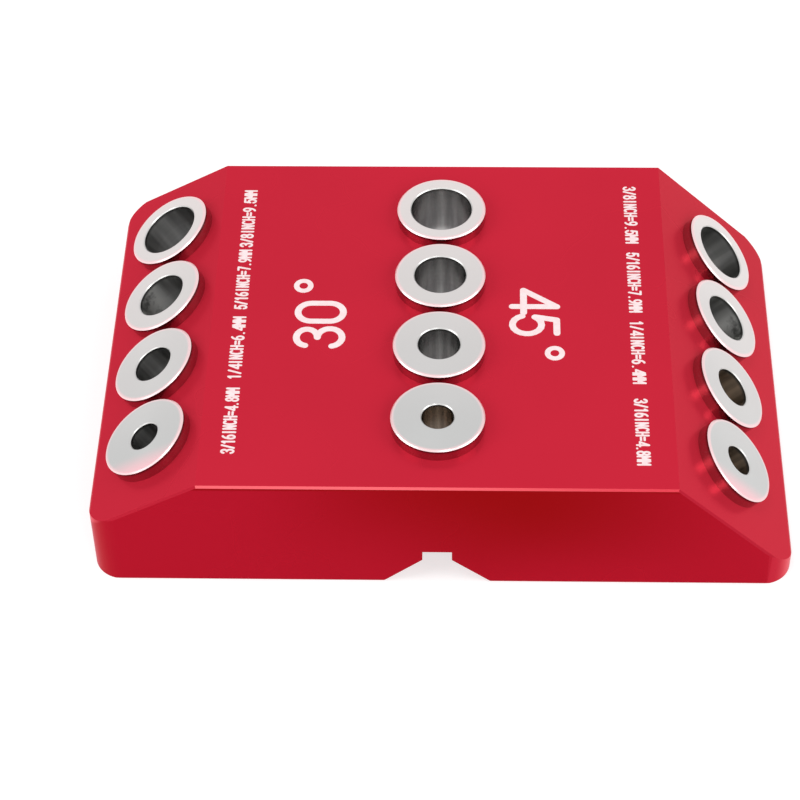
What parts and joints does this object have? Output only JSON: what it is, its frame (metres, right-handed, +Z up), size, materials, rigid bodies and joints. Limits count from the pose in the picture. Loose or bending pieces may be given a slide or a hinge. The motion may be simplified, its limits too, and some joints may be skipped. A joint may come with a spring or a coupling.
{
  "type": "angled drill guide",
  "caption": "Metal block with pressed-in steel bushes that guide drills upright or at a slant, over a V groove for round or square stock.",
  "frame": {"origin": "middle of the base, on the plane that the block stands on", "axes": "+X across the rows, from the 30 degree row to the 45 degree row; +Y along the rows, from the smallest bushes at the front to the largest at the back; +Z up, out of the upright bushes"},
  "size_m": [0.105, 0.07, 0.023],
  "materials": {
    "anodised_block": "satin red anodised aluminium, milled, with printed white marks",
    "bush_steel": "hardened steel, finely turned on the flange's face and polished in the bore"
  },
  "bodies": {
    "root": {"block": "anodised_block", "bush_left_three_eighths": "bush_steel", "bush_left_five_sixteenths": "bush_steel", "bush_left_quarter": "bush_steel", "bush_left_three_sixteenths": "bush_steel", "bush_middle_three_eighths": "bush_steel", "bush_middle_five_sixteenths": "bush_steel", "bush_middle_quarter": "bush_steel", "bush_middle_three_sixteenths": "bush_steel", "bush_right_three_eighths": "bush_steel", "bush_right_five_sixteenths": "bush_steel", "bush_right_quarter": "bush_steel", "bush_right_three_sixteenths": "bush_steel"}
  },
  "joints": []
}
